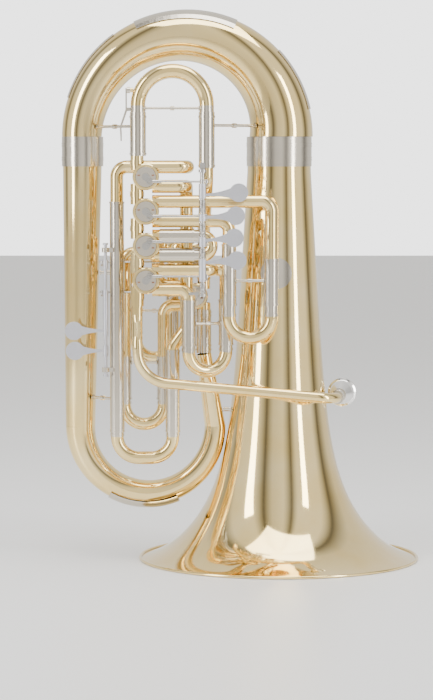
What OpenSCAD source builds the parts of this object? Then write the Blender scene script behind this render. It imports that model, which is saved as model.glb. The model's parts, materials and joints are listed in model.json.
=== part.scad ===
// Six-valve rotary F tuba, standing on its bell.
// The origin is the centre of the bell's mouth, +Z runs up the bell, +X points to the
// mouthpiece side and -Y to the valve side.

/* [Bell and body] */
// Radius of the bell's mouth, to the outside of the rim
bell_mouth_r = 215; // [210:1:220]
// Height at which the bell meets the top bow
bell_top_z = 647; // [640:1:647]
// Radius of the top bow's outer edge
top_bow_outer_r = 191.3; // [188:0.1:193]
// Outside radius of the bell where it meets the top bow
bell_top_r = 48.4; // [47:0.1:49]
// Outside radius of the large branch where it meets the top bow
branch_top_r = 30.4; // [30:0.1:31]
// Radius of the bottom bow's centre line
bottom_bow_r = 103.4; // [102:0.1:105]
// Thickness of the brass sheet
sheet_t = 0.9; // [0.7:0.1:1.2]

/* [Valves] */
// Height of the first valve's centre
valve_z = 432; // [430:1:434]
// Distance between neighbouring front valves
valve_pitch = 51.6; // [51:0.1:52]
// Outside radius of a valve casing
casing_r = 18; // [17.6:0.1:18.4]
// Radius of a rotor
rotor_r = 14.95; // [14.9:0.01:14.98]
// Outside radius of a valve's screw cap
cap_r = 19.8; // [19.5:0.1:20]
// Radius of the crank pin's circle
crank_r = 8; // [7.8:0.1:8.2]

/* [Tubing] */
// Outside radius of the valve tubing
tube_r = 9.8; // [9.6:0.1:9.9]
// Wall thickness of the valve tubing
tube_t = 0.8; // [0.6:0.1:1]
// Clearance between an inner slide tube and its sleeve
slide_gap = 0.05; // [0.03:0.01:0.08]
// Outside radius of the leadpipe
leadpipe_r = 8; // [7.5:0.1:8.3]

/* [Levers] */
// Travel of a paddle, in degrees
paddle_travel = 28; // [26:1:30]
// Length of the lever arm that drives a link
lever_l = 23.4; // [23:0.1:23.8]
// Radius of a paddle's round end
spoon_r = 13.8; // [12:0.1:14.5]

/* [Hidden] */
$fn = 64;
eps = 0.01;

brass = "goldenrod";
nickel = "darkkhaki";
silver = "silver";
steel = "lightslategray";
cork = "sienna";

// Depths of the layers of tubing
front_y = -82;
middle_y = -52;
rear_y = -10;
back_y = 24;

// Valves: [x, depth, height, crank side in x, crank side in z]
front_x = -201;
thumb_x = -128.6;
VALVES = [
  [front_x, front_y, valve_z, 1, 1],
  [front_x, front_y, valve_z + valve_pitch, 1, 1],
  [front_x, front_y, valve_z + 2 * valve_pitch, 1, -1],
  [front_x, front_y, valve_z + 3 * valve_pitch, 1, -1],
  [thumb_x, rear_y, 404.9, -1, 1],
  [thumb_x, rear_y, 464.4, -1, -1]
];
port_x = 13.6;
port_z = 14.6;
casing_half = 15;
bore_r = rotor_r + 0.05;
wind_r = tube_r - tube_t;
shaft_r = 4;

// Slides and their sleeves
sleeve_in_r = tube_r + slide_gap;
sleeve_r = tube_r + 1;

// Main tuning slide
main_left_x = -213;
main_right_x = -110.3;
main_bow_z = 693;
main_sleeve_top_z = 680;
main_tube_r = 10.9;
main_sleeve_r = 11.9;
main_left_end_z = 618;
main_right_end_z = 600;

// Large branch and bows
branch_top_x = -299.9;
branch_bottom_x = -304.6;
bottom_bow_z = 204;
bow_centre_x = branch_bottom_x + bottom_bow_r;
branch_bottom_r = 22.7;
inner_branch_r = 16.2;
top_bow_z = 647.2;
top_bow_x = -140;
bow_steps = 30;
bow_sides = 40;

// ---------- helpers ----------

function unit(v) = v / norm(v);
function turn_at(a, b, c) = acos(unit(b - a) * unit(c - b));
function tangent(a, b, c, r) = r * tan(turn_at(a, b, c) / 2);

// Puts a child that stands on Z at p, pointing along d
module along(p, d) {
  u = unit(d);
  translate(p) rotate([0, acos(u[2]), atan2(u[1], u[0])]) children();
}

module rod(p, q, r) {
  along(p, q - p) cylinder(h = norm(q - p), r = r);
}

// A hollow part of a ring that rounds the corner at b
module corner(a, b, c, bend_r, r, t) {
  u = unit(a - b);
  v = unit(c - b);
  m = unit(v - (v * u) * u);
  n = cross(-m, -u);
  p = b + u * tangent(a, b, c, bend_r) + bend_r * m;
  multmatrix([
    [-m[0], -u[0], n[0], p[0]],
    [-m[1], -u[1], n[1], p[1]],
    [-m[2], -u[2], n[2], p[2]],
    [0, 0, 0, 1]
  ])
    rotate_extrude(angle = turn_at(a, b, c)) translate([bend_r, 0]) difference() {
      circle(r = r);
      circle(r = r - t);
    }
}

// Oblique bends are separate lengths of tube, with this much left for the solder
solder_gap = 0.03;
function seam(a, b, c) = abs(turn_at(a, b, c) - 90) < 0.01 ? 0 : solder_gap;

// A hollow tube through the points; bends gives the radius of the bend at each point
module bent_tube(points, bends, r, t) {
  last = len(points) - 1;
  for (i = [0:last - 1]) {
    a = points[i];
    b = points[i + 1];
    d = unit(b - a);
    before = i == 0 ? a : points[i - 1];
    after = i == last - 1 ? b : points[i + 2];
    from = i == 0 ? a : a + d * (tangent(before, a, b, bends[i]) + seam(before, a, b));
    to = i == last - 1 ? b : b - d * (tangent(a, b, after, bends[i + 1]) + seam(a, b, after));
    if (norm(to - from) > 0.1) tube(from, to, r, t);
  }
  for (i = [1:1:last - 1]) corner(points[i - 1], points[i], points[i + 1], bends[i], r, t);
}

module pipe(points, bend_r, r = tube_r, t = tube_t) {
  bent_tube(points, [for (p = points) bend_r], r, t);
}

// A straight hollow tube
module tube(p, q, r, t) {
  d = unit(q - p);
  difference() {
    rod(p, q, r);
    rod(p - d, q + d, r - t);
  }
}

// A raised ring round a vertical tube
module ring(x, y, z, r_in, r_out, h) {
  translate([x, y, z]) difference() {
    cylinder(h = h, r = r_out);
    translate([0, 0, -1]) cylinder(h = h + 2, r = r_in);
  }
}

// A hollow bend whose radius changes along it, as one skin outside and one inside
function circle_at(c, radial, r) =
  [for (j = [0:bow_sides - 1]) let (a = 360 * j / bow_sides)
    c + r * cos(a) * radial + [0, r * sin(a), 0]];

module tapered_bend(centres, radials, radii, t) {
  n = len(centres);
  m = bow_sides;
  outer = [for (i = [0:n - 1]) each circle_at(centres[i], radials[i], radii[i])];
  inner = [for (i = [0:n - 1]) each circle_at(centres[i], radials[i], radii[i] - t)];
  k = n * m;
  sides = [for (i = [0:n - 2]) for (j = [0:m - 1]) let (j2 = (j + 1) % m)
    [i * m + j, i * m + j2, (i + 1) * m + j2, (i + 1) * m + j]];
  bores = [for (f = sides) [f[3] + k, f[2] + k, f[1] + k, f[0] + k]];
  ends = [for (j = [0:m - 1]) let (j2 = (j + 1) % m)
    each [[j2, j, k + j, k + j2],
      [(n - 1) * m + j, (n - 1) * m + j2, k + (n - 1) * m + j2, k + (n - 1) * m + j]]];
  polyhedron(points = concat(outer, inner), faces = concat(sides, bores, ends));
}

// ---------- bell, bows and branches ----------

// Outside radius of the bell at a height above its mouth: a straight taper up to the neck,
// plus a flare and a short lip
flare_r = 113;
flare_h = 72;
lip_r = 18.8;
lip_h = 8;
taper_r = bell_mouth_r - flare_r - lip_r - 2;
function bell_r(z) = max(bell_top_r,
  taper_r + 2 - 0.0584 * z + flare_r * exp(-z / flare_h) + lip_r * exp(-z / lip_h));

function bell_slope(z) = (bell_r(z + 0.01) - bell_r(z - 0.01)) / 0.02;
function bell_inside(z) = let (s = bell_slope(z))
  [bell_r(z), z] + sheet_t * [-1, s] / sqrt(1 + s * s);

rim_r = 2.2;
lip_z = 1.17;
bell_heights = concat([for (i = [0:23]) lip_z + 100 * pow(i / 23, 1.8)],
  [for (i = [1:16]) 101 + i * 31], [bell_top_z]);

module bell() {
  outer = [for (z = bell_heights) [bell_r(z), z]];
  last = len(bell_heights) - 1;
  inner = [for (i = [last:-1:0]) bell_inside(bell_heights[i])];
  color(brass) rotate_extrude($fn = 128) polygon(concat(outer, inner));
}

// The sheet's edge is rolled over a wire, and its underside is flat where the horn stands
module bell_rim() {
  flat = 0.5;
  n = 12;
  start = asin((flat - rim_r) / rim_r);
  color(brass) rotate_extrude($fn = 128)
    polygon([for (k = [0:n]) let (a = start + (180 - 2 * start) * k / n)
      [bell_mouth_r - rim_r + rim_r * cos(a), rim_r - flat + rim_r * sin(a)]]);
}

collar_low_z = 602;
collar_top_z = 647;
module collar(r) {
  cylinder(h = collar_top_z - collar_low_z, r = r + 1.2, $fn = 96);
  for (z = [9, 12.5, 30, 33.5]) translate([0, 0, z]) cylinder(h = 1.6, r = r + 2, $fn = 96);
}

module bell_collar() {
  color(nickel) translate([0, 0, collar_low_z]) difference() {
    collar(bell_top_r);
    translate([0, 0, -1]) cylinder(h = 60, r = bell_top_r + 0.02, $fn = 96);
  }
}

branch_foot = [branch_bottom_x, 0, bottom_bow_z];
branch_head = [branch_top_x, 0, top_bow_z];
module large_branch() {
  along_branch = branch_head - branch_foot;
  color(brass) along(branch_foot, along_branch) difference() {
    cylinder(h = norm(along_branch), r1 = branch_bottom_r, r2 = branch_top_r, $fn = 96);
    translate([0, 0, -eps])
      cylinder(h = norm(along_branch) + 2 * eps, r1 = branch_bottom_r - sheet_t,
        r2 = branch_top_r - sheet_t, $fn = 96);
  }
}

module branch_collar() {
  color(nickel) translate([branch_top_x, 0, collar_low_z]) difference() {
    collar(branch_top_r);
    translate([0, 0, -1]) cylinder(h = 60, r = branch_top_r + 0.1, $fn = 96);
  }
}

// Top bow: its outer edge is a true half circle, and its tube widens towards the bell
function top_radius(u) = branch_top_r + (bell_top_r - branch_top_r) * pow(u, 1.15);
function top_radial(u) = [-cos(180 * u), 0, sin(180 * u)];
function top_centre(u) =
  [top_bow_x, 0, top_bow_z] + (top_bow_outer_r - top_radius(u)) * top_radial(u);

module top_bow() {
  steps = [for (i = [0:bow_steps]) i / bow_steps];
  color(brass) tapered_bend([for (u = steps) top_centre(u)], [for (u = steps) top_radial(u)],
    [for (u = steps) top_radius(u)], sheet_t);
}

// A guard plate over the outside of the top bow, between two places along it
module top_guard(u_from, u_to, half_angle, t = 1.2) {
  n = 14;
  m = 8;
  gap = 0.4;
  row = [for (i = [0:n]) u_from + (u_to - u_from) * i / n];
  angle = [for (j = [0:m]) -half_angle + 2 * half_angle * j / m];
  skin = [for (layer = [gap, gap + t]) for (u = row) for (a = angle)
    top_centre(u) + (top_radius(u) + layer) * (cos(a) * top_radial(u) + [0, sin(a), 0])];
  w = m + 1;
  k = (n + 1) * w;
  under = [for (i = [0:n - 1]) for (j = [0:m - 1])
    [i * w + j, i * w + j + 1, (i + 1) * w + j + 1, (i + 1) * w + j]];
  over = [for (f = under) [f[3] + k, f[2] + k, f[1] + k, f[0] + k]];
  sides = [for (i = [0:n - 1]) each [
    [(i + 1) * w, (i + 1) * w + k, i * w + k, i * w],
    [i * w + m, i * w + m + k, (i + 1) * w + m + k, (i + 1) * w + m]]];
  ends = [for (j = [0:m - 1]) each [
    [j, j + k, j + 1 + k, j + 1],
    [n * w + j + 1, n * w + j + 1 + k, n * w + j + k, n * w + j]]];
  polyhedron(points = skin, faces = concat(under, over, sides, ends));
}

module top_bow_guards() {
  color(nickel) {
    top_guard(0.36, 0.63, 50);
    top_guard(0.76, 0.93, 22);
    top_guard(0.1, 0.3, 22);
  }
}

// Bottom bow: a half circle, narrowing from the large branch to the inner branch
function bottom_radius(u) = branch_bottom_r + (inner_branch_r - branch_bottom_r) * u;
function bottom_radial(u) = [-cos(180 * u), 0, -sin(180 * u)];
function bottom_centre(u) = [bow_centre_x, 0, bottom_bow_z] + bottom_bow_r * bottom_radial(u);

module bottom_bow() {
  steps = [for (i = [0:24]) i / 24];
  flip = [for (i = [24:-1:0]) steps[i]];
  color(brass) tapered_bend([for (u = flip) bottom_centre(u)], [for (u = flip) bottom_radial(u)],
    [for (u = flip) bottom_radius(u)], sheet_t);
}

module bottom_bow_guard() {
  from = 62;
  turn = 52;
  r = bottom_radius(0.5);
  color(nickel) translate([bow_centre_x, 0, bottom_bow_z]) rotate([90, 0, 0])
    rotate([0, 0, -from - turn - 5]) rotate_extrude(angle = turn) translate([bottom_bow_r, 0])
      difference() {
        circle(r = r + 3.4);
        circle(r = r + 1.4);
        translate([-40, -40]) square([40 + r * 0.62, 80]);
      }
}

// Inner branch: from the sleeve under the thumb valves to the bottom bow
inner_top = [thumb_x + port_x, rear_y, 316];
inner_foot = [bow_centre_x + bottom_bow_r, 0, bottom_bow_z];
inner_top_r = 11.6;
module inner_branch() {
  d = inner_top - inner_foot;
  spare = 4;
  trim = 60;
  color(brass) difference() {
    along(inner_foot - spare * unit(d), d)
      cylinder(h = norm(d) + spare, r1 = inner_branch_r, r2 = inner_top_r);
    along(inner_foot - (spare + eps) * unit(d), d)
      cylinder(h = norm(d) + spare + 2 * eps, r1 = inner_branch_r - sheet_t,
        r2 = inner_top_r - sheet_t);
    translate(inner_foot - [trim / 2, trim / 2, trim]) cube([trim, trim, trim + eps]);
  }
}

inner_sleeve_top_z = 384;
module inner_branch_sleeve() {
  x = inner_top[0];
  color(nickel) {
    tube([x, rear_y, inner_top[2] + 1.5], [x, rear_y, inner_sleeve_top_z], 11.6, 0.9);
    for (z = [322, 328, 374, 379]) ring(x, rear_y, z, 11.62, 12.6, 1.8);
  }
}

// ---------- main tuning slide ----------

module main_slide_sleeves() {
  color(nickel) {
    for (leg = [[main_left_x, main_left_end_z], [main_right_x, main_right_end_z]]) {
      ring(leg[0], front_y, leg[1], main_tube_r + slide_gap, main_sleeve_r,
        main_sleeve_top_z - leg[1]);
      for (z = [leg[1] + 2, main_sleeve_top_z - 5])
        ring(leg[0], front_y, z, main_sleeve_r, main_sleeve_r + 1, 2.5);
    }
  }
}

// A U of tube with upright legs: side is 1 for a bow above the legs and -1 for one below
module u_slide(a, b, bow_z, leg_end_z, r, t, side) {
  mid = [(a[0] + b[0]) / 2, (a[1] + b[1]) / 2, bow_z];
  half = norm(b - a) / 2;
  swing = atan2(b[1] - a[1], b[0] - a[0]);
  translate(mid) rotate([0, 0, swing]) rotate([90, 0, 0]) {
    rotate([0, 0, side > 0 ? 0 : 180]) rotate_extrude(angle = 180) translate([half, 0])
      difference() {
        circle(r = r);
        circle(r = r - t);
      }
  }
  gap = abs(b[1] - a[1]) > eps ? solder_gap : 0;
  leg_l = abs(leg_end_z - bow_z) - gap;
  for (p = [a, b]) ring(p[0], p[1], side > 0 ? leg_end_z : bow_z + gap, r - t, r, leg_l);
}

// A thin turned rod between two upright tubes, with a collar in its middle
module cross_brace(a, b, z, r_a, r_b, r = 1.8) {
  from = [a[0], a[1], z];
  to = [b[0], b[1], z];
  d = unit(to - from);
  p = from + d * r_a;
  q = to - d * r_b;
  rod(p, q, r);
  rod((p + q) / 2 - 3 * d, (p + q) / 2 + 3 * d, r + 1.4);
  for (foot = [p, q - 1.5 * d]) rod(foot, foot + 1.5 * d, r + 1.6);
}

main_a = [main_left_x, front_y];
main_b = [main_right_x, front_y];
key_pivot = [-229, front_y, 687];
key_nipple_z = 716;
module main_tuning_slide() {
  color(nickel) {
    difference() {
      u_slide(main_a, main_b, main_bow_z, 640, main_tube_r, tube_t, 1);
      rod([-240, front_y, key_nipple_z], [-212, front_y, key_nipple_z], 2);
    }
    cross_brace(main_a, main_b, 689, main_tube_r, main_tube_r);
    for (leg = [main_a, main_b])
      ring(leg[0], leg[1], main_sleeve_top_z + 0.4, main_tube_r, main_tube_r + 1.1, 3);
    // Water hole's nipple, and the saddle that carries the key
    tube([-224.4, front_y, key_nipple_z], [-219.6, front_y, key_nipple_z], 3.4, 1.2);
    for (y = [-5, 3]) translate([-231.5, front_y + y, 685]) cube([8, 2, 5]);
  }
}

module water_key() {
  color(nickel) {
    translate([key_pivot[0], front_y - 2.6, key_pivot[2]]) rotate([-90, 0, 0])
      cylinder(h = 5.2, r = 2.4);
    hull() {
      translate([-231.6, front_y - 2.2, key_nipple_z - 3]) cube([2.2, 4.4, 6]);
      translate([-231.6, front_y - 2.2, 686]) cube([2.2, 4.4, 2]);
    }
    hull() {
      translate([-231.6, front_y - 2.2, 684]) cube([2.2, 4.4, 3]);
      translate([-240, front_y - 2.2, 660]) cube([2.2, 4.4, 2]);
    }
    hull() {
      translate([-240, front_y - 2.2, 660]) cube([2.2, 4.4, 2]);
      translate([-239, front_y - 4, 640]) cube([1.8, 8, 12]);
    }
  }
  color(cork) rod([-229.4, front_y, key_nipple_z], [-224.7, front_y, key_nipple_z], 4.6);
}

// ---------- leadpipe and mouthpiece ----------

receiver_from = [87.5, -62, 254.5];
mouth_dir = unit([0.13, 1, 0]);
module leadpipe() {
  top = [front_x - port_x, front_y, 393];
  path = [top, [top[0], front_y, 372], [-214, -103, 338], [-211, -103, 282],
    [receiver_from[0] - mouth_dir[0] * 41, -103, receiver_from[2]], receiver_from];
  color(brass) bent_tube(path, [0, 28, 28, 48, 30, 0], leadpipe_r, tube_t);
}

receiver_l = 32;
module mouthpiece_receiver() {
  color(nickel) along(receiver_from, mouth_dir) difference() {
    union() {
      translate([0, 0, -8]) cylinder(h = receiver_l + 8, r = leadpipe_r + 1.2);
      for (z = [-8, receiver_l - 5]) translate([0, 0, z]) cylinder(h = 5, r = leadpipe_r + 2.4);
    }
    translate([0, 0, -9]) cylinder(h = 9.01, r = leadpipe_r + 0.02);
    cylinder(h = 60, r1 = 6.2, r2 = 7.4);
  }
}

// Shank, cup and rim in one turned piece, with the bore right through
module mouthpiece() {
  outer = [[5.4, 0], [6.5, 22], [7.2, 26], [7.2, 34], [9, 40], [13, 48], [17, 56], [18.6, 64],
    [19, 69], [21.6, 70.5], [22.4, 73], [21.6, 76], [19, 77]];
  inner = [[16.6, 76], [15.6, 73], [14.6, 64], [12.4, 55], [8, 47], [3.6, 42], [3.6, 38], [4.6, 0]];
  color(silver) along(receiver_from + 8 * mouth_dir, mouth_dir)
    rotate_extrude($fn = 96) polygon(concat(outer, inner));
}

// ---------- valves ----------

module at_valve(i) {
  v = VALVES[i];
  translate([v[0], v[1], v[2]]) children();
}

// Turns a child so that its Z points to the back of the horn
module facing_back() {
  rotate([-90, 0, 0]) children();
}

// Ports join the casing on the column's side and on the loop's side
module valve_casing(i) {
  s = i < 4 ? -1 : 1;
  at_valve(i) difference() {
    translate([0, -casing_half, 0]) facing_back() cylinder(h = 2 * casing_half, r = casing_r);
    translate([0, -casing_half - 1, 0]) facing_back() cylinder(h = 40, r = bore_r);
    translate([s * port_x, 0, -30]) cylinder(h = 60, r = wind_r);
    for (z = [-port_z, port_z]) translate([0, 0, z]) rotate([0, -90 * s, 0])
      cylinder(h = 30, r = wind_r);
  }
}

module front_valve_casings() {
  color(brass) for (i = [0:3]) valve_casing(i);
}

module thumb_valve_casings() {
  color(brass) for (i = [4:5]) valve_casing(i);
}

// Front bearing plate, with the shaft's hole and the two stop blocks on it
plate_t = 3;
module bearing_plates() {
  color(nickel) for (i = [0:5]) at_valve(i) {
    sx = VALVES[i][3];
    sz = VALVES[i][4];
    translate([0, -casing_half - plate_t, 0]) facing_back() difference() {
      cylinder(h = plate_t, r = casing_r - 2);
      translate([0, 0, -1]) cylinder(h = 9, r = shaft_r + 0.05);
    }
    translate([0, casing_half, 0]) facing_back() difference() {
      cylinder(h = plate_t, r = casing_r - 1);
      translate([0, 0, -1]) cylinder(h = 9, r = shaft_r + 0.05);
    }
    for (side = [-1, 1])
      translate([side * 10.6 - 2.2, -casing_half - plate_t - 3, -sz * 5 - 1.5]) cube([4.4, 3, 3]);
  }
}

// Cork or rubber bumpers on the stop blocks
module stop_corks() {
  color(cork) for (i = [0:5]) at_valve(i) {
    sz = VALVES[i][4];
    for (side = [-1, 1])
      translate([side * 10.6 - 1.8, -casing_half - plate_t - 3, sz > 0 ? -3.5 : 1.5])
        cube([3.6, 3, 2]);
  }
}

// Screw caps: a ring with a rolled front edge, open in the middle
module valve_caps() {
  color(brass) for (i = [0:5]) at_valve(i) translate([0, -casing_half - plate_t - 2.6, 0])
    facing_back() rotate_extrude() polygon([
      [cap_r - 4.6, 0.8], [cap_r - 3.8, 0], [cap_r - 1.2, 0], [cap_r, 1.2], [cap_r, 9],
      [casing_r + 0.1, 9], [casing_r + 0.1, 2.5], [cap_r - 4.6, 2.5]]);
}

module valve_back_caps() {
  color(brass) for (i = [0:5]) at_valve(i) translate([0, casing_half + plate_t + 2.4, 0])
    rotate([90, 0, 0]) rotate_extrude() polygon([
      [0, 0], [9, 0], [cap_r - 2, 0.6], [cap_r - 0.8, 2], [cap_r - 0.8, 9],
      [casing_r + 0.1, 9], [casing_r + 0.1, 2.2], [0, 2.2]]);
}

// A rotor: two passages across it, its shaft, its crank arm and the crank's pin
arm_y = casing_half + plate_t + 3.6;
arm_t = 3;
link_depth = 28;
module rotor(i) {
  sx = VALVES[i][3];
  sz = VALVES[i][4];
  pin_x = sx * crank_r * cos(45);
  pin_z = sz * crank_r * sin(45);
  at_valve(i) {
    color(brass) difference() {
      translate([0, 0.3 - casing_half, 0]) facing_back()
        cylinder(h = 2 * casing_half - 0.6, r = rotor_r);
      for (x = [-port_x + 1, port_x - 1]) translate([x, 0, -20]) cylinder(h = 40, r = wind_r - 1.2);
    }
    color(steel) {
      translate([0, 0.3 - casing_half, 0]) rotate([90, 0, 0])
        cylinder(h = arm_y - casing_half + arm_t - 0.3, r = shaft_r);
      translate([0, casing_half - 0.3, 0]) facing_back() cylinder(h = plate_t, r = shaft_r);
      translate([0, -arm_y, 0]) rotate([90, 0, 0]) linear_extrude(arm_t) hull() {
        circle(r = 5.6);
        translate([pin_x, pin_z]) circle(r = 3);
      }
      translate([0, -arm_y - arm_t, 0]) rotate([90, 0, 0]) cylinder(h = 1.6, r = 3);
      translate([pin_x, -arm_y - arm_t, pin_z]) rotate([90, 0, 0]) cylinder(h = 7.5, r = 1.4);
    }
  }
}

// Knuckles: short tubes with a nickel ferrule between neighbouring valves of a column
module knuckle(x, y, z_low, z_high) {
  ring(x, y, z_low, wind_r, tube_r, z_high - z_low);
  ring(x, y, (z_low + z_high) / 2 - 4, tube_r, tube_r + 0.9, 8);
}

reach_z = 10.5;
module column(x, y, heights, cut) {
  difference() {
    for (h = heights) knuckle(x, y, h[0], h[1]);
    for (i = cut) at_valve(i) translate([0, -25, 0]) facing_back() cylinder(h = 60, r = casing_r);
    for (i = cut) at_valve(i) difference() {
      translate([0, -casing_half - plate_t - 3, 0]) facing_back() cylinder(h = 9.6, r = cap_r);
      translate([0, -casing_half - plate_t - 4, 0]) facing_back() cylinder(h = 12, r = casing_r - 1);
    }
    for (i = cut) at_valve(i) difference() {
      translate([0, casing_half - 3.7, 0]) facing_back() cylinder(h = 9.6, r = cap_r - 0.7);
      translate([0, casing_half - 4, 0]) facing_back() cylinder(h = 12, r = casing_r - 1);
    }
  }
}

column_x = front_x - port_x;
thumb_column_x = thumb_x + port_x;
module valve_knuckles() {
  z = [for (v = VALVES) v[2]];
  color(brass) {
    column(column_x, front_y, [[z[0] + reach_z, z[1] - reach_z], [z[1] + reach_z, z[2] - reach_z],
      [z[2] + reach_z, z[3] - reach_z], [z[3] + reach_z, main_left_end_z], [393, z[0] - reach_z]],
      [0, 1, 2, 3]);
    column(thumb_column_x, rear_y, [[z[4] + reach_z, z[5] - reach_z],
      [inner_sleeve_top_z, z[4] - reach_z]], [4, 5]);
    // From the main slide's right leg back to the thumb valves
    difference() {
      pipe([[main_right_x, front_y, main_right_end_z], [main_right_x, front_y, 580],
        [thumb_column_x, rear_y, 505], [thumb_column_x, rear_y, z[5] + reach_z]], 18, tube_r);
      at_valve(5) translate([0, -25, 0]) facing_back() cylinder(h = 60, r = casing_r);
    }
  }
}

// ---------- valve loops and their slides ----------

// Takes a valve's casing out of the end of a loop's tubes
module clear_of_valve(i) {
  difference() {
    children();
    at_valve(i) translate([0, -30, 0]) facing_back() cylinder(h = 60, r = casing_r);
  }
}

function port(i, side, z) = [VALVES[i][0] + side * 9, VALVES[i][1], VALVES[i][2] + z];

leg_1 = [[-137.3, front_y], [-81.5, -60]];
leg_3 = [[-76.8, front_y], [-13.5, front_y]];
leg_4 = [[-246, middle_y], [-162, middle_y]];
leg_5 = [[-236.4, rear_y], [-176.1, rear_y]];
leg_6 = [[-220, back_y], [-163, back_y]];
leg_2_x = [-142, -118];

// Where the sleeves of each upright slide end: [top, top of the other leg, bottom]
sleeve_1 = [390, 390, 333];
sleeve_3 = [474, 452, 394];
sleeve_4 = [537, 313, 200];
sleeve_5 = [300, 300, 246];
sleeve_6 = [410, 410, 345];
bow_1_z = 324;
bow_3_z = 376.6;
bow_4_z = 193;
bow_5_z = 238;
bow_6_z = 336;
loop_bend = 15;

function at(p, z) = [p[0], p[1], z];

module loop_1() {
  step_x = leg_1[1][0] - 22;
  color(brass) clear_of_valve(0) {
    pipe([port(0, 1, -port_z), at(leg_1[0], valve_z - port_z), at(leg_1[0], sleeve_1[0])], 14);
    pipe([port(0, 1, port_z), [step_x, front_y, valve_z + port_z],
      [step_x, leg_1[1][1], valve_z + port_z], at(leg_1[1], valve_z + port_z),
      at(leg_1[1], sleeve_1[1])], 11 - eps);
  }
}

module loop_2() {
  color(brass) clear_of_valve(1) {
    for (z = [-port_z, port_z])
      pipe([port(1, 1, z), [leg_2_x[0] - 34, front_y, VALVES[1][2] + z]], 10);
  }
}

module loop_3() {
  z = VALVES[2][2];
  color(brass) clear_of_valve(2) {
    pipe([port(2, 1, -port_z), at(leg_3[0], z - port_z), at(leg_3[0], sleeve_3[0])], loop_bend);
    pipe([port(2, 1, port_z), at(leg_3[1], z + port_z), at(leg_3[1], sleeve_3[1])], loop_bend);
  }
}

module loop_4() {
  z = VALVES[3][2];
  turn_x = -139;
  down_x = -141;
  color(brass) clear_of_valve(3) {
    pipe([port(3, 1, port_z), [turn_x, front_y, z + port_z], [turn_x, middle_y, z + port_z],
      at(leg_4[0], z + port_z), at(leg_4[0], sleeve_4[0])], loop_bend - eps);
    pipe([port(3, 1, -port_z), [down_x, front_y, z - port_z], [down_x, middle_y, z - port_z],
      [down_x, middle_y, 358], [leg_4[1][0], middle_y, 330], at(leg_4[1], sleeve_4[1])],
      loop_bend - eps);
  }
}

module loop_5() {
  z = VALVES[4][2];
  color(brass) clear_of_valve(4) {
    pipe([port(4, -1, -port_z), at(leg_5[1], z - port_z), at(leg_5[1], sleeve_5[1])], loop_bend);
    pipe([port(4, -1, port_z), [-185, rear_y, z + port_z], [-185, rear_y, 470],
      at(leg_5[0], 470), at(leg_5[0], sleeve_5[0])], loop_bend);
  }
}

module loop_6() {
  z = VALVES[5][2];
  turn_x = leg_6[1][0];
  color(brass) clear_of_valve(5) {
    pipe([port(5, -1, -port_z), [turn_x, rear_y, z - port_z], [turn_x, back_y, z - port_z],
      at(leg_6[1], sleeve_6[1])], loop_bend);
    pipe([port(5, -1, port_z), [turn_x, rear_y, z + port_z], [turn_x, back_y, z + port_z],
      at(leg_6[0], z + port_z), at(leg_6[0], sleeve_6[0])], loop_bend);
  }
}

// The sleeves are soldered over the ends of the loops, and the slides run in them
module sleeve(p, top, low) {
  overlap = 12;
  ring(p[0], p[1], low, sleeve_in_r, sleeve_r, top - low);
  ring(p[0], p[1], top, tube_r, sleeve_r, overlap);
  for (z = [low, top + overlap - 2.5]) ring(p[0], p[1], z, sleeve_r, sleeve_r + 0.8, 2.5);
}

module slide_sleeves() {
  color(nickel) {
    for (s = [[leg_1, sleeve_1], [leg_3, sleeve_3], [leg_4, sleeve_4], [leg_5, sleeve_5],
      [leg_6, sleeve_6]]) {
      sleeve(s[0][0], s[1][0], s[1][2]);
      sleeve(s[0][1], s[1][1], s[1][2]);
    }
    for (z = [-port_z, port_z]) translate([leg_2_x[0] - 39, front_y, VALVES[1][2] + z])
      rotate([0, 90, 0]) {
        ring(0, 0, 12, sleeve_in_r, sleeve_r, 40);
        ring(0, 0, 0, tube_r, sleeve_r, 12);
        ring(0, 0, 49.5, sleeve_r, sleeve_r + 0.8, 2.5);
      }
  }
}

// Inner slides: each is a bow with two legs and a brace between them
module hanging_slide(legs, sleeves, bow_z) {
  top = min(sleeves[0], sleeves[1]) - 2;
  color(nickel) u_slide(legs[0], legs[1], bow_z, top, tube_r, tube_t, -1);
  color(nickel) for (p = legs) ring(p[0], p[1], bow_z + 1, tube_r, tube_r + 0.9, 4);
}

module slide_1() { hanging_slide(leg_1, sleeve_1, bow_1_z); }
module slide_3() { hanging_slide(leg_3, sleeve_3, bow_3_z); }
module slide_4() { square_slide(); }
module slide_5() { hanging_slide(leg_5, sleeve_5, bow_5_z); }
module slide_6() { hanging_slide(leg_6, sleeve_6, bow_6_z); }

module slide_2() {
  x = leg_2_x[1];
  color(nickel) translate([x, front_y, VALVES[1][2]]) {
    rotate([90, 0, 0]) rotate([0, 0, -90]) rotate_extrude(angle = 180) translate([port_z, 0])
      difference() {
        circle(r = tube_r);
        circle(r = wind_r);
      }
    for (z = [-port_z, port_z]) translate([0, 0, z]) rotate([0, -90, 0])
      ring(0, 0, 0, wind_r, tube_r, 48);
  }
}

// The long slide's bow has two round corners with a straight piece between them
module square_slide() {
  bend = 32.4;
  low = bow_4_z - bend;
  top = sleeve_4[1] - 2;
  color(nickel) {
    pipe([at(leg_4[0], top), at(leg_4[0], low), at(leg_4[1], low), at(leg_4[1], top)], bend);
    for (p = leg_4) ring(p[0], p[1], bow_4_z + 1, tube_r, tube_r + 0.9, 4);
  }
}

// ---------- levers and links ----------

axle_x = -116.4;
axle_y = front_y - link_depth - lever_l * cos(paddle_travel / 4);
axle_r = 3;
sleeve_tube_r = 5.4;
running = 0.06;
thumb_axle_x = -263;
thumb_axle_y = rear_y - link_depth - lever_l * cos(paddle_travel / 4);

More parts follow.
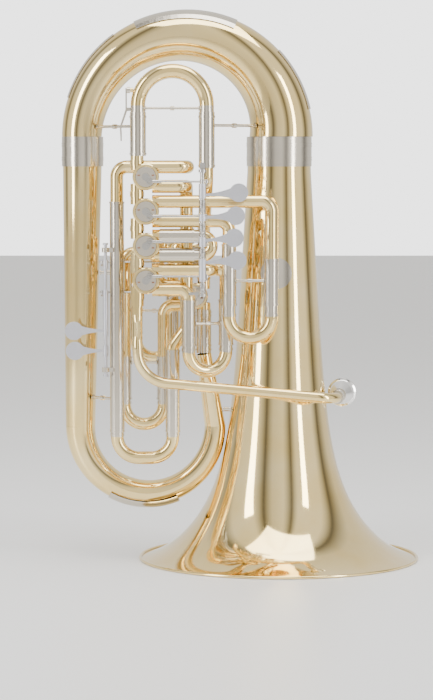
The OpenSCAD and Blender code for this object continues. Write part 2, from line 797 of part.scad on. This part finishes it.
// Front paddles: [height of the link, height of the stem, end of the spoon in x and z]
eye_lift = crank_r * (1 + cos(45)) / 2;
function link_z(i) = VALVES[i][2] + VALVES[i][4] * eye_lift;
STEMS = [460.8, 493.5, 527.5, 560.3, 354.6, 324.1];
SPOONS = [[-65.1, 463.6], [-69.3, 497], [-67.2, 529.7], [-62.6, 563.8], [-311, 354.3], [-309.6, 324]];

// Extent of each sleeve along its axle
function sleeve_low(i) = min(link_z(i) - 6.5, STEMS[i] - 5);
function sleeve_high(i) = max(link_z(i) - 3, STEMS[i] + 5);

module paddle_axle() {
  low = 414;
  high = 594;
  color(steel) {
    translate([axle_x, axle_y, low]) cylinder(h = high - low, r = axle_r);
    for (z = [low - 4, high]) translate([axle_x, axle_y, z]) cylinder(h = 4, r = 5.8);
  }
  // The top bracket stands on the main slide's right sleeve, the foot on the first loop
  arm_w = 8;
  arm_from = axle_y + 5.6;
  foot_t = 1.5;
  top_foot_y = front_y - main_sleeve_r - foot_t - 0.1;
  low_foot_y = front_y - tube_r - foot_t - 0.1;
  color(nickel) {
    translate([axle_x - arm_w / 2, arm_from, high - 2])
      cube([arm_w, top_foot_y + foot_t - arm_from, 4]);
    translate([axle_x - arm_w / 2, top_foot_y, high - 2]) cube([arm_w, foot_t, 16]);
    translate([axle_x - arm_w / 2, arm_from, low - 4])
      cube([arm_w, low_foot_y + foot_t - arm_from, 4]);
    translate([leg_1[0][0], low_foot_y, low - 4])
      cube([axle_x + arm_w / 2 - leg_1[0][0], foot_t, 4]);
    for (z = [low - 4, high]) difference() {
      translate([axle_x - arm_w / 2, axle_y + 5, z]) cube([arm_w, 1, 2]);
      translate([axle_x, axle_y, z - 1]) cylinder(h = 9, r = 5.8);
    }
  }
}

module thumb_axle_brackets() {
  color(nickel) for (z = [292, 473]) {
    difference() {
      union() {
        translate([thumb_axle_x, thumb_axle_y, z]) cylinder(h = 7, r = 5.4);
        translate([thumb_axle_x, thumb_axle_y - 2, z]) cube([12, 6, 7]);
      }
      translate([thumb_axle_x, thumb_axle_y, z - 1]) cylinder(h = 9, r = 2.46);
      translate([leg_4[0][0], leg_4[0][1], z - 1]) cylinder(h = 9, r = sleeve_r + 0.3);
    }
  }
}

// Coil springs round the axle, between the sleeves
spring_gap = 0.4;
module coil(z_low, z_high) {
  pitch = 2.2;
  n = floor((z_high - z_low) / pitch);
  for (i = [0:n - 1]) translate([axle_x, axle_y, z_low + (i + 0.5) * pitch]) rotate_extrude()
    translate([4.5, 0]) circle(r = 1, $fn = 16);
}

module paddle_springs() {
  color(steel) {
    coil(415, sleeve_low(0) - spring_gap);
    coil(sleeve_high(0) + spring_gap, sleeve_low(1) - spring_gap);
    coil(sleeve_high(1) + spring_gap, sleeve_low(2) - spring_gap);
    coil(sleeve_high(2) + spring_gap, sleeve_low(3) - spring_gap);
  }
}

// A touch plate: a round spoon that narrows in a curve to its stem
spoon_t = 1.8;
module touch(x_axle, y, z_stem, spoon) {
  dir = spoon[0] > x_axle ? 1 : -1;
  from = [x_axle + dir * 5, z_stem];
  n = 8;
  translate([0, y + spoon_t / 2, 0]) rotate([90, 0, 0]) linear_extrude(spoon_t) {
    translate(spoon) circle(r = spoon_r);
    polygon(concat(
      [for (k = [0:n]) let (s = k / n) from + s * (spoon - from)
        + [0, 2 + (spoon_r * 0.9 - 2) * pow(s, 2.2)]],
      [for (k = [n:-1:0]) let (s = k / n) from + s * (spoon - from)
        - [0, 2 + (spoon_r * 0.9 - 2) * pow(s, 2.2)]]));
  }
}

// A lever arm from an axle to the pin that carries its link
module lever_arm(x, y, z, side, inner_r) {
  lean = side * paddle_travel / 2;
  translate([x, y, z]) rotate([0, 0, -lean]) {
    translate([-2, inner_r - 0.5, -6.2]) cube([4, lever_l - inner_r + 2.5, 2.6]);
    translate([0, lever_l, -3.7]) cylinder(h = 7, r = 1.4);
  }
}

module front_paddle(i) {
  low = sleeve_low(i);
  high = sleeve_high(i);
  color(silver) difference() {
    union() {
      translate([axle_x, axle_y, low]) cylinder(h = high - low, r = sleeve_tube_r);
      touch(axle_x, axle_y, STEMS[i], SPOONS[i]);
      lever_arm(axle_x, axle_y, link_z(i), 1, sleeve_tube_r);
    }
    translate([axle_x, axle_y, low - 20]) cylinder(h = 200, r = axle_r + running);
  }
}

module paddle_1() { front_paddle(0); }
module paddle_2() { front_paddle(1); }
module paddle_3() { front_paddle(2); }
module paddle_4() { front_paddle(3); }

// The first thumb paddle is on a sleeve, the second on the rod that turns inside it
thumb_rod_r = 2.4;
thumb_sleeve_r = 4;
module paddle_5() {
  color(silver) difference() {
    union() {
      translate([thumb_axle_x, thumb_axle_y, 346]) cylinder(h = 70, r = thumb_sleeve_r);
      touch(thumb_axle_x, thumb_axle_y, STEMS[4], SPOONS[4]);
      lever_arm(thumb_axle_x, thumb_axle_y, link_z(4), -1, thumb_sleeve_r);
    }
    translate([thumb_axle_x, thumb_axle_y, 300]) cylinder(h = 200, r = thumb_rod_r + running);
  }
}

module paddle_6() {
  color(silver) {
    translate([thumb_axle_x, thumb_axle_y, 288]) cylinder(h = 196, r = thumb_rod_r);
    for (z = [285, 484]) translate([thumb_axle_x, thumb_axle_y, z]) cylinder(h = 3, r = 4);
    difference() {
      union() {
        translate([thumb_axle_x, thumb_axle_y, 316]) cylinder(h = 16, r = thumb_sleeve_r);
        translate([thumb_axle_x, thumb_axle_y, 448]) cylinder(h = 14, r = thumb_sleeve_r);
        touch(thumb_axle_x, thumb_axle_y, STEMS[5], SPOONS[5]);
        lever_arm(thumb_axle_x, thumb_axle_y, link_z(5), -1, thumb_sleeve_r);
      }
      translate([thumb_axle_x, thumb_axle_y, 280]) cylinder(h = 220, r = thumb_rod_r);
    }
  }
}

// A link: an eye round the crank pin, a fork housing, a rod, and an eye round the lever's pin
eye_in_r = 3.2;
eye_out_r = 4.7;
module link(i) {
  v = VALVES[i];
  front = i < 4;
  z = link_z(i);
  y = v[1] - link_depth;
  x_pin = v[0] + v[3] * crank_r * cos(45);
  x_lever = front ? axle_x + lever_l * sin(paddle_travel / 2)
    : thumb_axle_x - lever_l * sin(paddle_travel / 2);
  dir = x_lever > x_pin ? 1 : -1;
  housing_l = front ? 18 : 12;
  color(steel) {
    translate([x_pin, y + 1.4, z]) rotate([90, 0, 0]) difference() {
      cylinder(h = 2.8, r = eye_out_r);
      translate([0, 0, -1]) cylinder(h = 5, r = eye_in_r);
    }
    rod([x_pin + dir * (eye_out_r - 0.1), y, z], [x_pin + dir * housing_l, y, z], 2.6);
    rod([x_pin + dir * housing_l, y, z], [x_lever - dir * 4, y, z], 1.5);
    translate([x_lever, y, z - 1.6]) difference() {
      cylinder(h = 3.2, r = 4.2);
      translate([0, 0, -1]) cylinder(h = 6, r = 2.7);
    }
    rod([x_lever - dir * 10, y, z], [x_lever - dir * 4, y, z], 2.4);
  }
}

module link_1() { link(0); }
module link_2() { link(1); }
module link_3() { link(2); }
module link_4() { link(3); }
module link_5() { link(4); }
module link_6() { link(5); }

module rotor_1() { rotor(0); }
module rotor_2() { rotor(1); }
module rotor_3() { rotor(2); }
module rotor_4() { rotor(3); }
module rotor_5() { rotor(4); }
module rotor_6() { rotor(5); }

// ---------- braces and furniture ----------

disc_z = 441;
disc_x = -5.4;
module bell_disc() {
  color(nickel) intersection() {
    difference() {
      translate([0, 0, disc_z - 30]) cylinder(h = 60, r1 = bell_r(disc_z - 30) + 2.6,
        r2 = bell_r(disc_z + 30) + 2.6, $fn = 96);
      translate([0, 0, disc_z - 31]) cylinder(h = 62, r1 = bell_r(disc_z - 31) + 0.6,
        r2 = bell_r(disc_z + 31) + 0.6, $fn = 96);
    }
    translate([disc_x, 0, disc_z]) rotate([90, 0, 0]) cylinder(h = 90, r = 23.6);
  }
}

// Braces run between the tubes that they hold apart: [a, b, height, radius at a, radius at b]
bow_y = 0;
inner_brace_z = 230;
inner_brace = inner_foot + (inner_top - inner_foot)
  * (inner_brace_z - inner_foot[2]) / (inner_top[2] - inner_foot[2]);
BRACES = [
  [[branch_top_x, bow_y], main_a, 662, branch_top_r + 2, main_sleeve_r],
  [main_b, [top_bow_x + top_bow_outer_r - bell_top_r, bow_y], 663.5, main_sleeve_r,
    bell_top_r + 0.6],
  [leg_1[0], leg_1[1], 366, sleeve_r, sleeve_r],
  [leg_3[0], leg_3[1], 431, sleeve_r, sleeve_r],
  [leg_4[0], leg_5[0], 318, sleeve_r, tube_r],
  [leg_5[0], leg_5[1], 303, sleeve_r, sleeve_r],
  [[branch_bottom_x + 1.9, bow_y], leg_4[0], 250, 24.6, sleeve_r],
  [[branch_bottom_x + 3.2, bow_y], leg_5[0], 440, 28.1, tube_r],
  [leg_6[0], leg_6[1], 380, sleeve_r, sleeve_r],
  [leg_4[1], leg_5[1], 262, sleeve_r, sleeve_r],
  [inner_brace, [0, bow_y], inner_brace_z, inner_branch_r, bell_r(inner_brace_z) + 0.9]
];

module braces() {
  color(nickel) for (b = BRACES) cross_brace(b[0], b[1], b[2], b[3], b[4], 2.2);
}

bell();
bell_rim();
bell_collar();
branch_collar();
top_bow();
top_bow_guards();
large_branch();
bottom_bow();
bottom_bow_guard();
inner_branch();
inner_branch_sleeve();
main_slide_sleeves();
main_tuning_slide();
leadpipe();
mouthpiece_receiver();
mouthpiece();
front_valve_casings();
thumb_valve_casings();
valve_caps();
valve_back_caps();
bearing_plates();
stop_corks();
valve_knuckles();
rotor_1();
rotor_2();
rotor_3();
rotor_4();
rotor_5();
rotor_6();
loop_1();
loop_2();
loop_3();
loop_4();
loop_5();
loop_6();
slide_sleeves();
slide_1();
slide_2();
slide_3();
slide_4();
slide_5();
slide_6();
paddle_axle();
thumb_axle_brackets();
paddle_springs();
paddle_1();
paddle_2();
paddle_3();
paddle_4();
paddle_5();
paddle_6();
link_1();
link_2();
link_3();
link_4();
link_5();
link_6();
water_key();
braces();
bell_disc();
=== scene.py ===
"""A six-valve rotary tuba on its bell: camera, studio, materials and the detailed pieces."""
import json
import math

import bmesh
import bpy
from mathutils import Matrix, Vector


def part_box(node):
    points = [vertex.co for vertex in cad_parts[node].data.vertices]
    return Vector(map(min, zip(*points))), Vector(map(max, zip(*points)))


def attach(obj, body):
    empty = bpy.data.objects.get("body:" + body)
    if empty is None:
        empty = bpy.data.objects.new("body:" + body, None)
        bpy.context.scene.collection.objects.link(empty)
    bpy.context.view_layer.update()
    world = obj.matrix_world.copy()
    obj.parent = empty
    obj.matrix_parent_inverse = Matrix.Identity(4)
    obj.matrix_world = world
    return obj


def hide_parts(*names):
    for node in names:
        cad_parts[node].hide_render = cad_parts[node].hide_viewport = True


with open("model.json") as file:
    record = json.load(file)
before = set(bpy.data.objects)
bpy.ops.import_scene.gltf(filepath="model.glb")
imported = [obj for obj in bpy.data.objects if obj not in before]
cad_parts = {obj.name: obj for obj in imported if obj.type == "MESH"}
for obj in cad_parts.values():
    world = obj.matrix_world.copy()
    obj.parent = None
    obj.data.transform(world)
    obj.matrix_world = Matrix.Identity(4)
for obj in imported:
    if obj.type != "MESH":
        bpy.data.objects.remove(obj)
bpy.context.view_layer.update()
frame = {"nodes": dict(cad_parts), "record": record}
HORN = "horn"
MM = 0.001


# ---------------------------------------------------------------- materials

NOISE_LOW, NOISE_HIGH = 0.3, 0.7


class Nodes:
    """Short names for building one material's node tree."""

    def __init__(self, name):
        self.mat = bpy.data.materials.new(name)
        self.mat.use_nodes = True
        self.tree = self.mat.node_tree
        self.shader = self.tree.nodes["Principled BSDF"]
        self.coords = self.tree.nodes.new("ShaderNodeTexCoord")

    def new(self, kind, **sockets):
        node = self.tree.nodes.new(kind)
        for key, value in sockets.items():
            node.inputs[key].default_value = value
        return node

    def link(self, source, target):
        self.tree.links.new(source, target)

    def noise(self, scale, detail=3.0, stretch=(1, 1, 1)):
        """Noise in the object's own coordinates, so that it stays put on the metal."""
        mapping = self.new("ShaderNodeMapping")
        mapping.inputs["Scale"].default_value = stretch
        self.link(self.coords.outputs["Object"], mapping.inputs["Vector"])
        node = self.new("ShaderNodeTexNoise", Scale=scale, Detail=detail)
        self.link(mapping.outputs["Vector"], node.inputs["Vector"])
        return node.outputs["Fac"]

    def ramp(self, source, *stops):
        """stops are (position, colour)."""
        node = self.new("ShaderNodeValToRGB")
        elements = node.color_ramp.elements
        while len(elements) < len(stops):
            elements.new(0.5)
        for element, (position, colour) in zip(elements, stops):
            element.position = position
            element.color = (*colour, 1)
        self.link(source, node.inputs["Fac"])
        return node.outputs["Color"]

    def range(self, source, low, high):
        """Spreads the middle of a noise's values over low to high."""
        node = self.new("ShaderNodeMapRange")
        node.inputs["From Min"].default_value = NOISE_LOW
        node.inputs["From Max"].default_value = NOISE_HIGH
        node.inputs["To Min"].default_value = low
        node.inputs["To Max"].default_value = high
        self.link(source, node.inputs["Value"])
        return node.outputs["Result"]

    def bump(self, source, strength, distance):
        node = self.new("ShaderNodeBump", Strength=strength, Distance=distance)
        self.link(source, node.inputs["Height"])
        self.link(node.outputs["Normal"], self.shader.inputs["Normal"])


def metal(name, light, dark, rough, grain=900.0, bump=0.05, coat=0.0, stretch=(1, 1, 1)):
    """Polished metal: slow tint drift, fine polishing marks and uneven gloss."""
    n = Nodes(name)
    n.shader.inputs["Metallic"].default_value = 1.0
    n.shader.inputs["Coat Weight"].default_value = coat
    n.shader.inputs["Coat Roughness"].default_value = 0.04
    drift = n.noise(14.0, 4.0)
    colour = n.ramp(drift, (NOISE_LOW, dark), (NOISE_HIGH, light))
    n.link(colour, n.shader.inputs["Base Color"])
    marks = n.noise(grain, 2.0, stretch)
    n.link(n.range(marks, *rough), n.shader.inputs["Roughness"])
    n.bump(marks, bump, 0.0001)
    return n.mat


def cork(name):
    n = Nodes(name)
    specks = n.noise(1400.0, 5.0)
    n.link(n.ramp(specks, (0.35, (0.16, 0.07, 0.03)), (0.7, (0.45, 0.22, 0.11))),
           n.shader.inputs["Base Color"])
    n.link(n.range(specks, 0.6, 0.9), n.shader.inputs["Roughness"])
    n.bump(specks, 0.5, 0.0003)
    return n.mat


BRASS = metal("lacquered brass", (0.96, 0.76, 0.38), (0.91, 0.67, 0.26), (0.04, 0.10), coat=0.3)
NICKEL = metal("nickel silver", (0.73, 0.67, 0.57), (0.66, 0.60, 0.50), (0.12, 0.22),
               grain=700.0, stretch=(1, 1, 4))
STEEL = metal("polished steel", (0.62, 0.60, 0.57), (0.5, 0.48, 0.45), (0.14, 0.28))
SATIN = metal("satin silver plate", (0.66, 0.66, 0.70), (0.60, 0.60, 0.65), (0.38, 0.5), bump=0.1)
SILVER = metal("bright silver plate", (0.93, 0.92, 0.9), (0.88, 0.87, 0.85), (0.04, 0.1))
CORK = cork("cork")
BY_SLOT = {"lacquered_brass": BRASS, "nickel_silver": NICKEL, "steel": STEEL,
           "silver_plate": SATIN, "mirror_silver": SILVER, "cork": CORK}


def paint_nodes():
    """Each carried-over node takes its slot's finish."""
    for part in frame["record"]["subparts"]:
        obj = frame["nodes"][part["node"]]
        obj.data.materials.clear()
        obj.data.materials.append(BY_SLOT[part["material_slot"]])


# How far a brass bow reaches along its slide, and where the water key's saddle ends on the main slide
SLIDE_4_BOW = 42.4 * MM
MAIN_BOW = 62.2 * MM
SLIDE_2_BOW = 24.4 * MM
WATER_KEY_X = -224.5 * MM


def two_tone_slides():
    """A slide's legs are nickel silver and its bow is brass: the bow lies past the end of the legs."""
    for i in (1, 3, 4, 5, 6):
        low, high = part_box(f"slide_{i}")
        reach = SLIDE_4_BOW if i == 4 else (high[0] - low[0]) / 2
        split_faces(f"slide_{i}", lambda c, z=low[2] + reach: c.z < z)
    low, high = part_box("main_tuning_slide")
    split_faces("main_tuning_slide",
                lambda c, z=high[2] - MAIN_BOW: c.z > z and c.x > WATER_KEY_X)
    low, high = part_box("slide_2")
    split_faces("slide_2", lambda c, x=high[0] - SLIDE_2_BOW: c.x > x)


def split_faces(node, is_brass):
    mesh = frame["nodes"][node].data
    mesh.materials.append(BRASS)
    for face in mesh.polygons:
        if is_brass(face.center):
            face.material_index = 1


# ---------------------------------------------------------------- mesh building

SHARP = math.radians(35)


def add_mesh(name, verts, faces, material, body, slot, replaces=()):
    mesh = bpy.data.meshes.new(name)
    mesh.from_pydata([tuple(v) for v in verts], [], faces)
    mesh.validate()
    bm = bmesh.new()
    bm.from_mesh(mesh)
    bmesh.ops.remove_doubles(bm, verts=bm.verts, dist=1e-7)
    bmesh.ops.recalc_face_normals(bm, faces=bm.faces)
    for face in bm.faces:
        face.smooth = True
    for edge in bm.edges:
        if len(edge.link_faces) == 2 and edge.calc_face_angle() > SHARP:
            edge.smooth = False
    bm.to_mesh(mesh)
    bm.free()
    obj = bpy.data.objects.new(name, mesh)
    bpy.context.scene.collection.objects.link(obj)
    mesh.materials.append(material)
    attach(obj, body)
    if replaces:
        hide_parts(*replaces)
    return obj


def loft(rings, closed=False):
    """Verts and quads through equal rings of points; closed joins the last ring to the first."""
    count = len(rings[0])
    verts = [p for ring in rings for p in ring]
    faces = []
    spans = len(rings) if closed else len(rings) - 1
    for i in range(spans):
        a = i * count
        b = ((i + 1) % len(rings)) * count
        for j in range(count):
            k = (j + 1) % count
            faces.append((a + j, a + k, b + k, b + j))
    return verts, faces


def lathe(profile, centre, axis, sides=128, closed=True):
    """Turns (radius, height) points round an axis through centre."""
    turn = Vector((0, 0, 1)).rotation_difference(Vector(axis).normalized()).to_matrix()
    rings = []
    for r, h in profile:
        rings.append([Vector(centre) + turn @ Vector((r * math.cos(a), r * math.sin(a), h))
                      for a in (2 * math.pi * j / sides for j in range(sides))])
    return loft(rings, closed)


# ---------------------------------------------------------------- bell, bows and branches

SHEET = 0.9 * MM
NECK_R = 48.4
LIP_Z = 1.3
ROUND = 192


def bell_radius(z_mm):
    """The same outline as the CAD bell: a straight taper, a flare and a short lip, in millimetres."""
    taper = 83.2 - 0.0584 * z_mm
    return max(NECK_R, taper + 113.0 * math.exp(-z_mm / 72.0) + 18.8 * math.exp(-z_mm / 8.0))


def bell():
    """The spun bell as one smooth sheet, from the lip up, with its rings closest near the lip."""
    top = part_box("bell")[1][2] / MM
    steps = 110
    outer = []
    for i in range(steps + 1):
        z = LIP_Z + (top - LIP_Z) * (i / steps) ** 1.9
        outer.append((bell_radius(z) * MM, z * MM))
    inner = []
    for i, (r, z) in enumerate(outer):
        a = outer[max(i - 1, 0)]
        b = outer[min(i + 1, steps)]
        along = Vector((b[0] - a[0], b[1] - a[1])).normalized()
        inner.append((r - along.y * SHEET, z + along.x * SHEET))
    verts, faces = lathe(outer + inner[::-1], (0, 0, 0), (0, 0, 1), ROUND)
    add_mesh("spun_bell", verts, faces, BRASS, HORN, "lacquered_brass", ["bell"])


def bell_rim():
    """The sheet rolled over its wire, flat underneath where the horn stands."""
    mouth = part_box("bell_rim")[1][0]
    r = 2.2 * MM
    flat = 0.5 * MM
    centre = (mouth - r, r - flat)
    points = 40
    profile = []
    for i in range(points):
        a = 2 * math.pi * i / points
        profile.append((centre[0] + r * math.cos(a), max(0.0, centre[1] + r * math.sin(a))))
    verts, faces = lathe(profile, (0, 0, 0), (0, 0, 1), ROUND)
    add_mesh("rolled_rim", verts, faces, BRASS, HORN, "lacquered_brass", ["bell_rim"])


def bend(name, centre, spread, radius, sign, node, steps=96, sides=96):
    """A hollow half-turn bend. spread(u) is the distance of the tube's centre from the bend's centre."""
    def rings(inset):
        out = []
        for i in range(steps + 1):
            u = i / steps
            radial = Vector((-math.cos(math.pi * u), 0, sign * math.sin(math.pi * u)))
            middle = Vector(centre) + spread(u) * radial
            r = radius(u) - inset
            out.append([middle + r * (math.cos(a) * radial + Vector((0, math.sin(a), 0)))
                        for a in (2 * math.pi * j / sides for j in range(sides))])
        return out
    verts, faces = loft(rings(0) + rings(SHEET)[::-1], closed=True)
    add_mesh(name, verts, faces, BRASS, HORN, "lacquered_brass", [node])


def bows():
    low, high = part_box("top_bow")
    outer = (high[0] - low[0]) / 2
    spring_z = low[2]
    narrow, wide = 30.4 * MM, NECK_R * MM

    def top_radius(u):
        return narrow + (wide - narrow) * u ** 1.15
    bend("smooth_top_bow", ((low[0] + high[0]) / 2, 0, spring_z), lambda u: outer - top_radius(u),
         top_radius, 1, "top_bow")

    low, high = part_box("bottom_bow")
    big, small = 22.7 * MM, 16.2 * MM
    turn = (high[0] - low[0] - big - small) / 2
    bend("smooth_bottom_bow", (low[0] + big + turn, 0, high[2]), lambda u: turn,
         lambda u: big + (small - big) * u, -1, "bottom_bow")


# ---------------------------------------------------------------- springs

def spans_of(node, gap):
    """The stretches in height that a node's solids cover, where gaps part them."""
    heights = sorted(v.co.z for v in frame["nodes"][node].data.vertices)
    spans = [[heights[0], heights[0]]]
    for z in heights:
        if z - spans[-1][1] > gap:
            spans.append([z, z])
        spans[-1][1] = z
    return spans


def tube_along(points, radius, sides=10):
    """A closed tube along a smooth list of points, with its frame carried from point to point."""
    rings = []
    side = None
    for i, p in enumerate(points):
        along = (points[min(i + 1, len(points) - 1)] - points[max(i - 1, 0)]).normalized()
        if side is None:
            side = along.orthogonal().normalized()
        side = (side - side.dot(along) * along).normalized()
        other = along.cross(side)
        rings.append([p + radius * (math.cos(a) * side + math.sin(a) * other)
                      for a in (2 * math.pi * j / sides for j in range(sides))])
    verts, faces = loft(rings)
    last = len(verts) - sides
    faces += [tuple(range(sides))[::-1], tuple(range(last, last + sides))]
    return verts, faces


def join_shapes(shapes):
    verts, faces = [], []
    for v, f in shapes:
        start = len(verts)
        verts += v
        faces += [tuple(i + start for i in face) for face in f]
    return verts, faces


def springs():
    """Each torsion spring is a wound wire between two sleeves."""
    low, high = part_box("paddle_springs")
    x, y = (low[0] + high[0]) / 2, (low[1] + high[1]) / 2
    wire = 0.72 * MM
    radius = (high[0] - low[0]) / 2 - wire
    pitch = 1.75 * MM
    per_turn = 20
    shapes = []
    for start, end in spans_of("paddle_springs", 4 * MM):
        turns = (end - start - 2 * wire) / pitch
        count = int(turns * per_turn)
        points = [Vector((x + radius * math.cos(2 * math.pi * i / per_turn),
                          y + radius * math.sin(2 * math.pi * i / per_turn),
                          start + wire + pitch * i / per_turn)) for i in range(count + 1)]
        shapes.append(tube_along(points, wire, 8))
    add_mesh("wound_springs", *join_shapes(shapes), STEEL, HORN, "steel", ["paddle_springs"])


# ---------------------------------------------------------------- floor, light and camera

SEEN_WHITE = 3.0
ROOM_WHITE = 1.25
# The room's brightness round the horn: 0 degrees is towards the viewer and 90 to the right
ROOM_STOPS = [(-180, 0.95), (-128, 0.8), (-104, 0.16), (-88, 0.9), (-50, 1.0), (-30, 0.12), (-14, 0.75),
              (8, 0.95), (24, 0.14), (36, 1.0), (80, 1.0), (98, 0.12), (122, 0.75), (180, 0.95)]


def floor():
    size = 12.0
    mesh = bpy.data.meshes.new("floor")
    mesh.from_pydata([(-size, -size, 0), (size, -size, 0), (size, size, 0), (-size, size, 0)],
                     [], [(0, 1, 2, 3)])
    obj = bpy.data.objects.new("floor", mesh)
    bpy.context.scene.collection.objects.link(obj)
    obj.location.z = -0.0006
    mat = bpy.data.materials.new("white floor")
    mat.use_nodes = True
    shader = mat.node_tree.nodes["Principled BSDF"]
    shader.inputs["Base Color"].default_value = (0.93, 0.93, 0.93, 1)
    shader.inputs["Roughness"].default_value = 0.38
    mesh.materials.append(mat)


def soft_box(name, place, aim, size, power):
    light = bpy.data.lights.new(name, "AREA")
    light.shape = "RECTANGLE"
    light.size, light.size_y = size
    light.energy = power
    obj = bpy.data.objects.new(name, light)
    obj.location = place
    obj.rotation_euler = (Vector(aim) - Vector(place)).to_track_quat("-Z", "Y").to_euler()
    bpy.context.scene.collection.objects.link(obj)


def studio_world():
    """White all round for the viewer; the metal mirrors the same white room with a few dark gaps in it."""
    world = bpy.data.worlds.new("studio")
    world.use_nodes = True
    tree = world.node_tree
    seen = tree.nodes["Background"]
    seen.inputs["Color"].default_value = (1, 1, 1, 1)
    seen.inputs["Strength"].default_value = SEEN_WHITE
    room = tree.nodes.new("ShaderNodeBackground")
    room.inputs["Strength"].default_value = ROOM_WHITE
    coords = tree.nodes.new("ShaderNodeTexCoord")
    split = tree.nodes.new("ShaderNodeSeparateXYZ")
    back = tree.nodes.new("ShaderNodeMath")
    back.operation = "MULTIPLY"
    back.inputs[1].default_value = -1.0
    angle = tree.nodes.new("ShaderNodeMath")
    angle.operation = "ARCTAN2"
    size = tree.nodes.new("ShaderNodeMapRange")
    size.inputs["From Min"].default_value = -math.pi
    size.inputs["From Max"].default_value = math.pi
    ramp = tree.nodes.new("ShaderNodeValToRGB")
    while len(ramp.color_ramp.elements) < len(ROOM_STOPS):
        ramp.color_ramp.elements.new(0.5)
    for element, (degrees, level) in zip(ramp.color_ramp.elements, ROOM_STOPS):
        element.position = (degrees + 180) / 360
        element.color = (level, level * 0.985, level * 0.95, 1)
    path = tree.nodes.new("ShaderNodeLightPath")
    mix = tree.nodes.new("ShaderNodeMixShader")
    link = tree.links.new
    link(coords.outputs["Generated"], split.inputs["Vector"])
    link(split.outputs["Y"], back.inputs[0])
    link(split.outputs["X"], angle.inputs[0])
    link(back.outputs["Value"], angle.inputs[1])
    link(angle.outputs["Value"], size.inputs["Value"])
    link(size.outputs["Result"], ramp.inputs["Fac"])
    link(ramp.outputs["Color"], room.inputs["Color"])
    link(path.outputs["Is Camera Ray"], mix.inputs["Fac"])
    link(room.outputs["Background"], mix.inputs[1])
    link(seen.outputs["Background"], mix.inputs[2])
    link(mix.outputs["Shader"], tree.nodes["World Output"].inputs["Surface"])
    bpy.context.scene.world = world


def studio():
    studio_world()
    aim = (-0.05, 0, 0.42)
    soft_box("left soft box", (-2.4, -1.6, 1.5), aim, (0.7, 2.4), 55)
    soft_box("right soft box", (2.2, -1.9, 1.2), aim, (0.5, 2.2), 40)
    soft_box("top soft box", (0.1, -0.4, 2.6), aim, (2.0, 1.4), 50)
    floor()


def camera():
    data = bpy.data.cameras.new("camera")
    data.lens = 139.5
    data.sensor_width = 36
    data.clip_end = 100
    obj = bpy.data.objects.new("camera", data)
    obj.location = (-0.0956, -4.15, 0.627)
    obj.rotation_euler = (math.radians(90 - 4.22), 0, 0)
    bpy.context.scene.collection.objects.link(obj)
    bpy.context.scene.camera = obj


camera()
studio()
paint_nodes()
two_tone_slides()
bell()
bell_rim()
bows()
springs()
